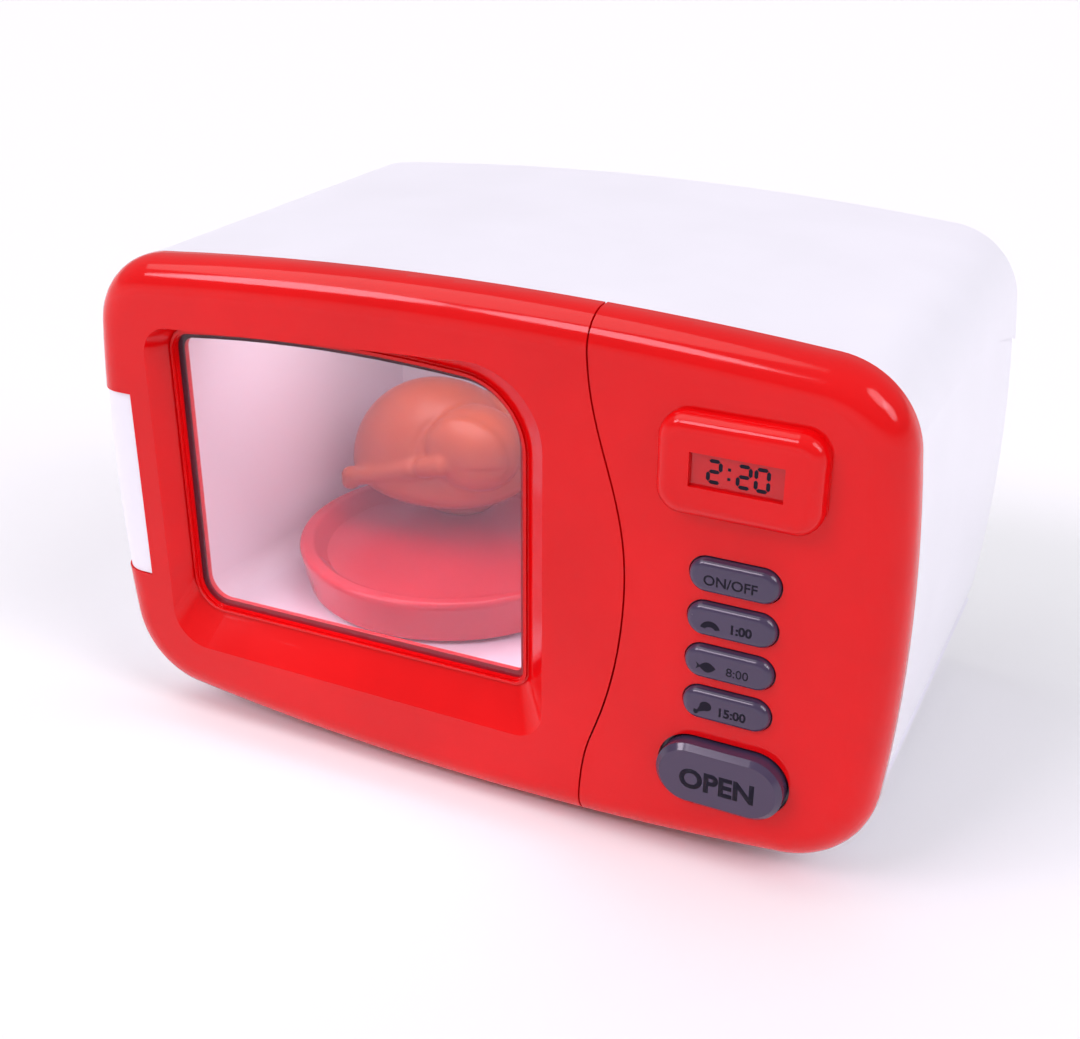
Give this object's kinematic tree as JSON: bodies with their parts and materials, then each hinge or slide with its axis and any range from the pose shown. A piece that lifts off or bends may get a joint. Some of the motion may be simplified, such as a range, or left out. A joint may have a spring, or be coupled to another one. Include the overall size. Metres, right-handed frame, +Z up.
{
  "type": "toy microwave",
  "caption": "Toy microwave with a swinging see-through door held by a push-button latch, press keys, a geared turntable with a play roast on it, and a battery hatch at the back.",
  "frame": {"origin": "on the table under the middle of the whole", "axes": "+X to the viewer's right along the front, +Y from the front to the back, +Z up"},
  "size_m": [0.2793, 0.1684, 0.1753],
  "materials": {
    "red_plastic": "gloss",
    "white_plastic": "soft gloss",
    "slate_plastic": "satin",
    "clear_pane": "clear",
    "display_red": "gloss",
    "dark_plastic": "matte",
    "orange_plastic": "satin",
    "inner_plastic": "matte",
    "gear_nylon": "matte",
    "steel": "bright",
    "board_green": "matte",
    "membrane_rubber": "matte",
    "foot_rubber": "matte",
    "cell_wrap": "gloss",
    "lamp_clear": "translucent"
  },
  "bodies": {
    "base": {"housing": "white_plastic", "front_frame": "white_plastic", "frame_screws": "steel", "hinge_pins": "steel", "control_panel": "red_plastic", "panel_screws": "steel", "display_lens": "display_red", "display_module": "dark_plastic", "circuit_board": "board_green", "board_screws": "steel", "keypad_membrane": "membrane_rubber", "cavity_liner": "white_plastic", "liner_screws": "steel", "gear_tray": "inner_plastic", "tray_screws": "steel", "drive_motor": "steel", "idler_axle": "steel", "lamp_lens": "lamp_clear", "lamp_led": "lamp_clear", "rear_cover": "white_plastic", "cover_screws": "steel", "battery_box": "inner_plastic", "battery_cells": "cell_wrap", "battery_contacts": "steel", "speaker": "dark_plastic", "feet": "foot_rubber", "open_button_springs": "steel", "latch_spring": "steel"},
    "door": {"door_shell": "red_plastic", "door_liner": "red_plastic", "door_window": "clear_pane", "door_screws": "steel"},
    "open_button": {"open_button": "slate_plastic"},
    "latch": {"latch_slide": "inner_plastic"},
    "on_off_key": {"on_off_button": "slate_plastic"},
    "one_minute_key": {"one_minute_button": "slate_plastic"},
    "eight_minute_key": {"eight_minute_button": "slate_plastic"},
    "fifteen_minute_key": {"fifteen_minute_button": "slate_plastic"},
    "turntable": {"turntable": "red_plastic", "turntable_spindle": "gear_nylon", "drive_gear": "gear_nylon", "roast_chicken": "orange_plastic"},
    "idler": {"idler_gear": "gear_nylon"},
    "motor_rotor": {"motor_pinion": "gear_nylon", "motor_shaft": "steel"},
    "battery_hatch": {"battery_cover": "white_plastic", "battery_cover_screw": "steel"}
  },
  "joints": [
    {"name": "door_hinge", "type": "hinge", "parent": "base", "child": "door", "pos_m": [-0.13355, -0.07145, 0.0872], "axis": [0, 0, -1], "range_deg": [0, 105]},
    {"name": "open_button_press", "type": "slide", "parent": "base", "child": "open_button", "axis": [0, 1, 0], "range_m": [0, 0.004], "stiffness_N_per_m": 400, "deforming": ["open_button_springs"]},
    {"name": "latch_draw", "type": "slide", "parent": "base", "child": "latch", "axis": [1, 0, 0], "range_m": [0, 0.003], "stiffness_N_per_m": 120, "deforming": ["latch_spring"]},
    {"name": "on_off_press", "type": "slide", "parent": "base", "child": "on_off_key", "axis": [0, 1, 0], "range_m": [0, 0.0015], "stiffness_N_per_m": 300},
    {"name": "one_minute_press", "type": "slide", "parent": "base", "child": "one_minute_key", "axis": [0, 1, 0], "range_m": [0, 0.0015], "stiffness_N_per_m": 300},
    {"name": "eight_minute_press", "type": "slide", "parent": "base", "child": "eight_minute_key", "axis": [0, 1, 0], "range_m": [0, 0.0015], "stiffness_N_per_m": 300},
    {"name": "fifteen_minute_press", "type": "slide", "parent": "base", "child": "fifteen_minute_key", "axis": [0, 1, 0], "range_m": [0, 0.0015], "stiffness_N_per_m": 300},
    {"name": "turntable_spin", "type": "hinge", "parent": "base", "child": "turntable", "pos_m": [-0.0448, 0.0021, 0.037], "axis": [0, 0, 1], "continuous": true},
    {"name": "idler_spin", "type": "hinge", "parent": "base", "child": "idler", "pos_m": [-0.0448, 0.0301, 0.025], "axis": [0, 0, 1], "continuous": true},
    {"name": "motor_spin", "type": "hinge", "parent": "base", "child": "motor_rotor", "pos_m": [-0.0216, 0.0301, 0.025], "axis": [0, 0, 1], "continuous": true},
    {"name": "battery_cover_lift", "type": "slide", "parent": "base", "child": "battery_hatch", "axis": [0, 1, 0], "range_m": [0, 0.04]}
  ],
  "couplings": [
    {"joint": "latch_draw", "follows": "open_button_press", "ratio": 0.75},
    {"joint": "idler_spin", "follows": "turntable_spin", "ratio": -6},
    {"joint": "motor_spin", "follows": "turntable_spin", "ratio": 28.8}
  ]
}
